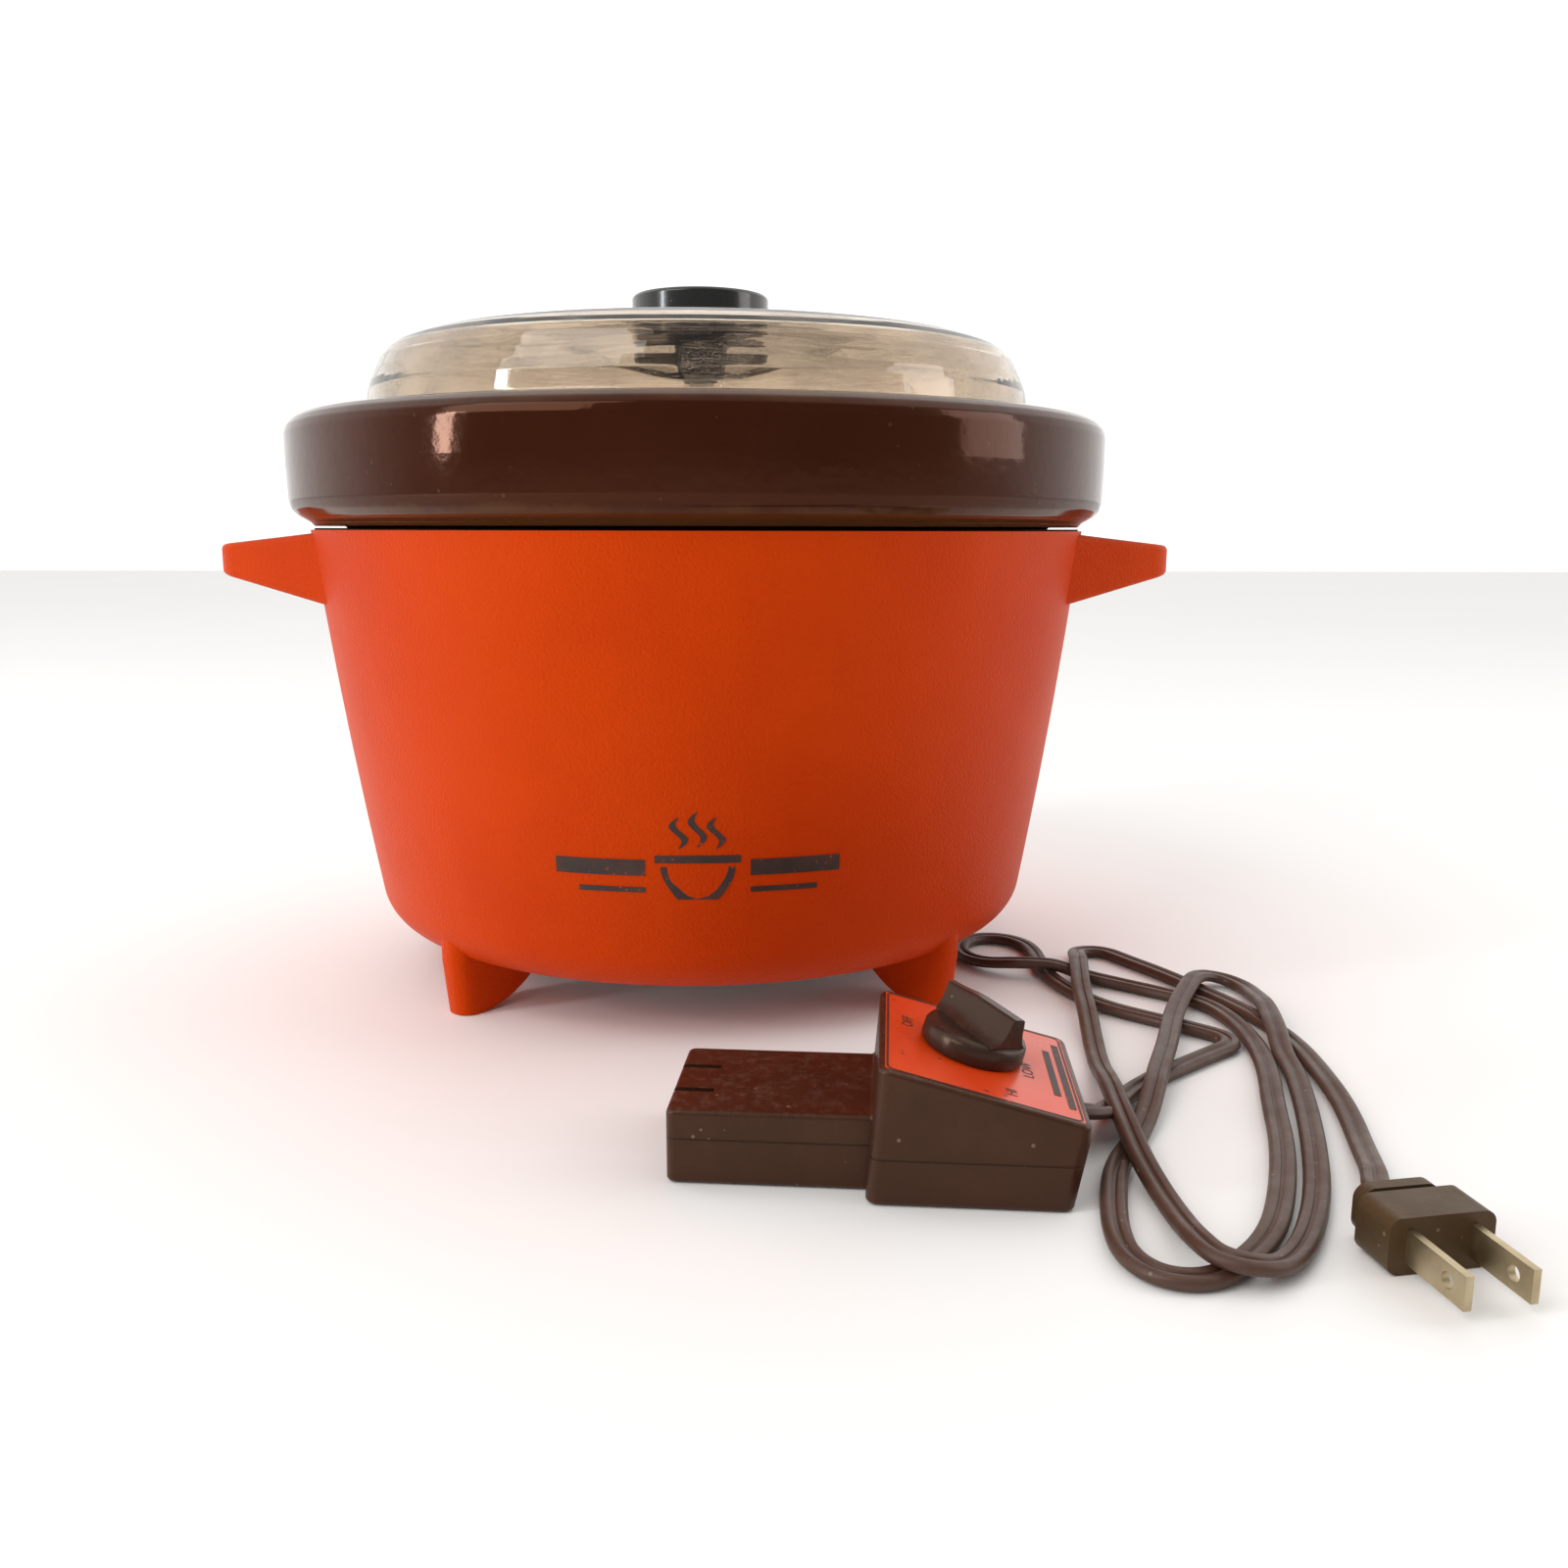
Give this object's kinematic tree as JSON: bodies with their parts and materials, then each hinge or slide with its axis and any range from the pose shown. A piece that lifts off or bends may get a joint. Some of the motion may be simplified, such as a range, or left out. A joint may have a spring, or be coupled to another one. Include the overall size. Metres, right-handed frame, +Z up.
{
  "type": "slow cooker",
  "caption": "Round slow cooker: pebbled plastic housing on fin-like feet, lift-out glazed crock, clear lid with knob, and a plug-in control unit with dial on a flat lead.",
  "frame": {"origin": "on the table, at the bottom centre of the box round the cooker and its control unit, without the lead and plug; the cooker's vertical axis is at y = +0.0329", "axes": "+Z up along the cooker's axis; +X toward one side grip; -Y toward the front, where the control unit lies"},
  "size_m": [0.2965, 0.3455, 0.1987],
  "materials": {
    "orange_shell": "satin pebbled",
    "zinc_sheet": "zinc plated",
    "pan_metal": "satin",
    "band_metal": "dull",
    "glass_wool": "woven",
    "screw_steel": "satin",
    "dark_moulding": "matte",
    "block_ceramic": "matte",
    "plated_brass": "worn",
    "lead_sleeve": "woven",
    "brown_glaze": "gloss",
    "smoky_lid": "clear",
    "black_knob": "gloss",
    "washer_steel": "satin",
    "brown_case": "semi gloss",
    "orange_plate": "satin",
    "black_dial": "semi gloss",
    "brown_plug": "semi gloss",
    "brown_lead": "satin"
  },
  "bodies": {
    "base": {"housing": "orange_shell", "bottom_cover": "zinc_sheet", "heater_pan": "pan_metal", "heater_band": "band_metal", "heat_wrap": "glass_wool", "pan_posts": "zinc_sheet", "post_screws": "screw_steel", "cover_screws": "screw_steel", "inlet_shroud": "dark_moulding", "terminal_block": "block_ceramic", "inlet_pins": "plated_brass", "supply_leads": "lead_sleeve"},
    "crock": {"crock": "brown_glaze"},
    "lid": {"lid": "smoky_lid", "lid_knob": "black_knob", "lid_washer": "washer_steel", "lid_screw": "screw_steel"},
    "unit": {"unit_base": "brown_case", "unit_cover": "brown_case", "face_plate": "orange_plate", "switch_body": "dark_moulding", "contact_clips": "plated_brass", "cord_clamp": "dark_moulding", "unit_leads": "lead_sleeve", "case_screws": "screw_steel", "plug_body": "brown_plug", "plug_blades": "plated_brass", "power_lead": "brown_lead"},
    "dial": {"dial_knob": "black_dial", "dial_shaft": "plated_brass"}
  },
  "joints": [
    {"name": "crock_lift", "type": "slide", "parent": "base", "child": "crock", "axis": [0, 0, 1], "range_m": [0, 0.13]},
    {"name": "lid_lift", "type": "slide", "parent": "crock", "child": "lid", "axis": [0, 0, 1], "range_m": [0, 0.06]},
    {"name": "unit_pull", "type": "slide", "parent": "base", "child": "unit", "axis": [0.993, -0.1184, 0], "range_m": [0, 0.05]},
    {"name": "dial_turn", "type": "hinge", "parent": "unit", "child": "dial", "pos_m": [0.05828, -0.12571, 0.0236], "axis": [0.2506, -0.0299, 0.9676], "range_deg": [-200, 0]}
  ]
}
